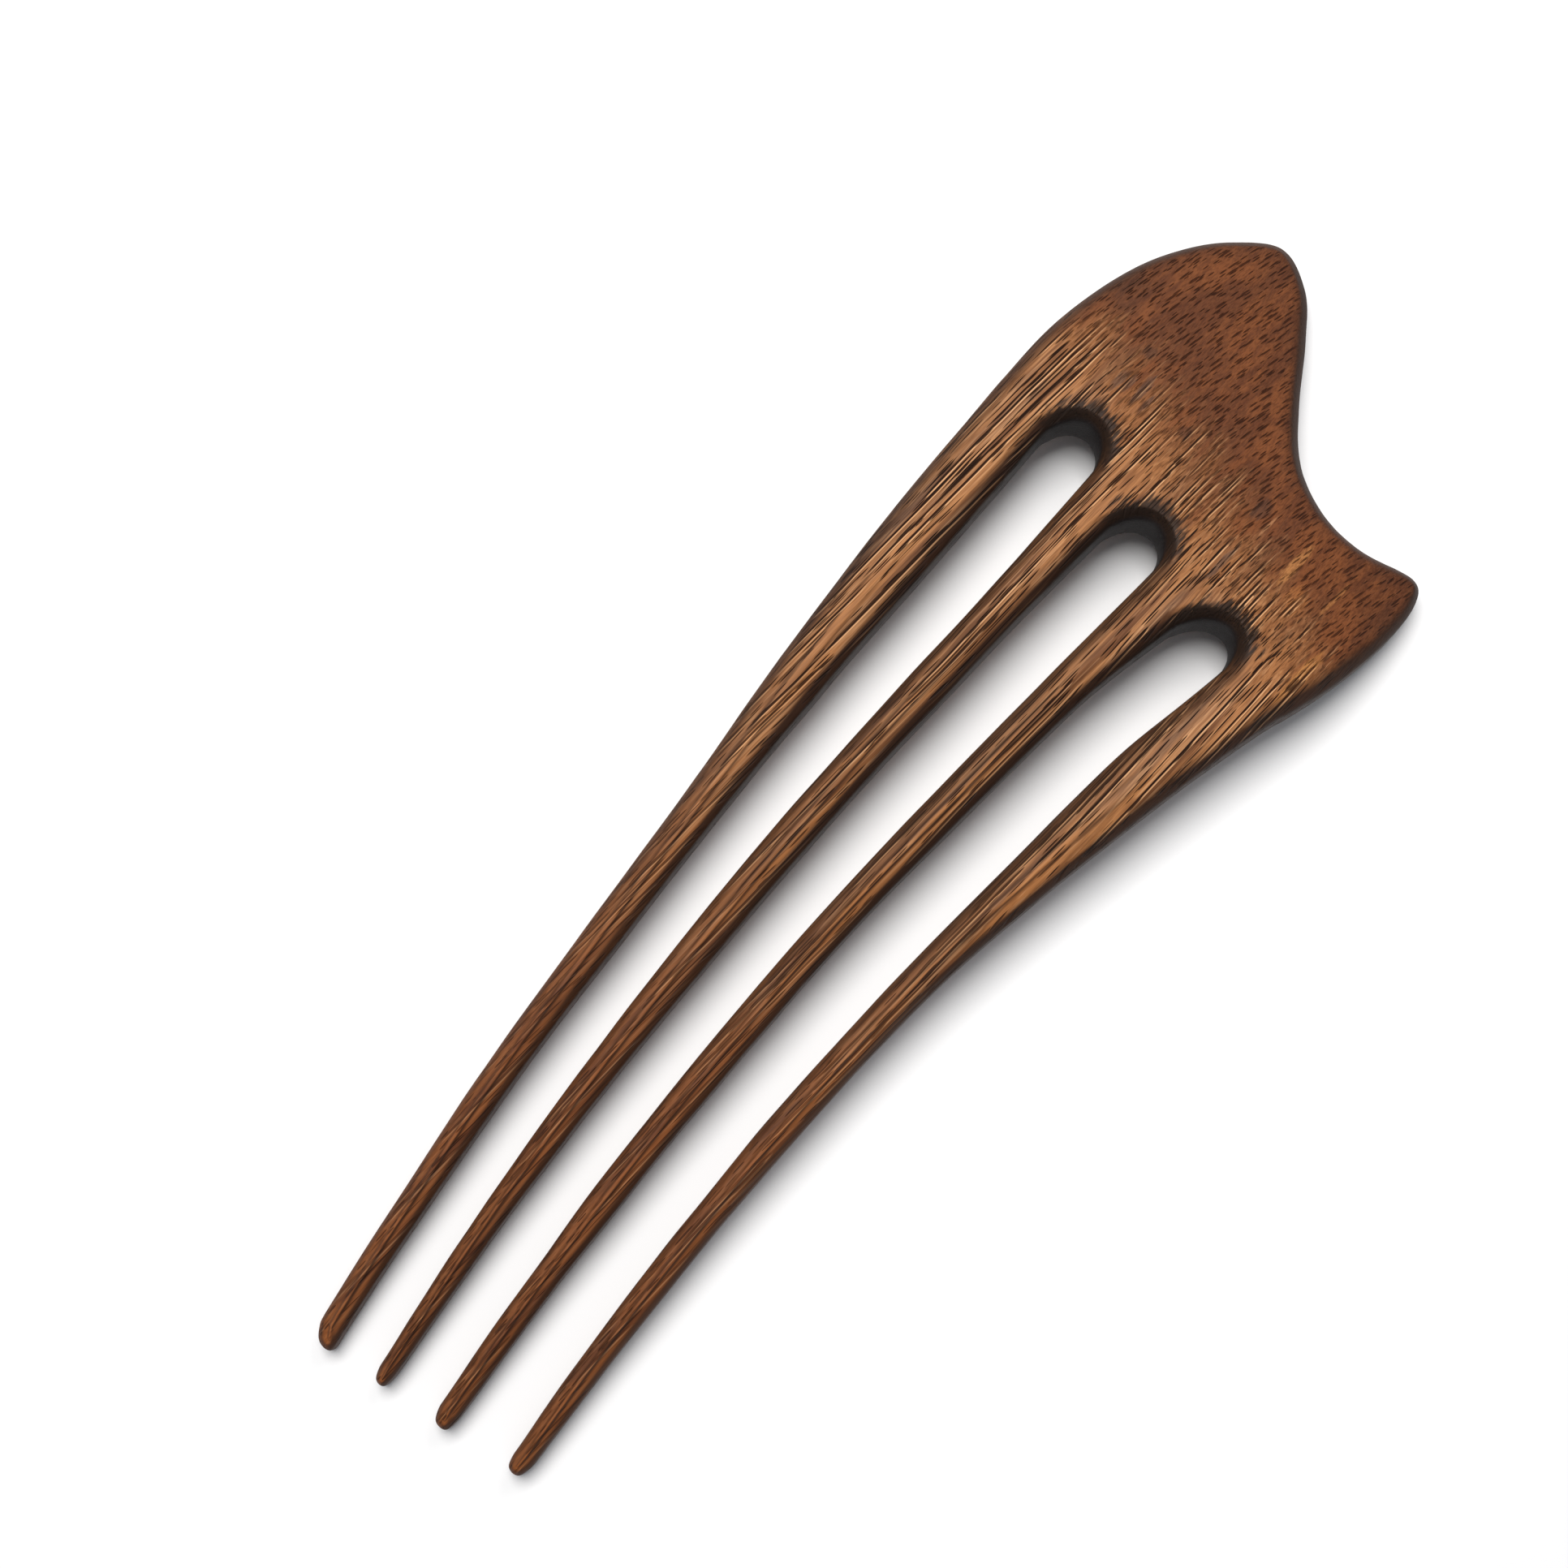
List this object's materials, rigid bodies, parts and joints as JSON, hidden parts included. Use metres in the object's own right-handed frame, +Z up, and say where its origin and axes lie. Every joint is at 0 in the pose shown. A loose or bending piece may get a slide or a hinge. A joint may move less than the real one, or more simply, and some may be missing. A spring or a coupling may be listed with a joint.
{
  "type": "hair fork",
  "caption": "Carved one-piece wooden hair fork with long tapering prongs and an asymmetric horned head that holds a hair bun.",
  "frame": {"origin": "middle of the fork's box, on the surface that it rests on", "axes": "+Y from the prong tips to the head, +X across the fork to the short horn's side, +Z up out of the face that shows when worn"},
  "size_m": [0.0447, 0.14, 0.0086],
  "materials": {
    "wood": "oiled open-grained hardwood, darker at the head, the tips and the scorched slot ends"
  },
  "bodies": {
    "root": {"hair_fork": "wood"}
  },
  "joints": []
}
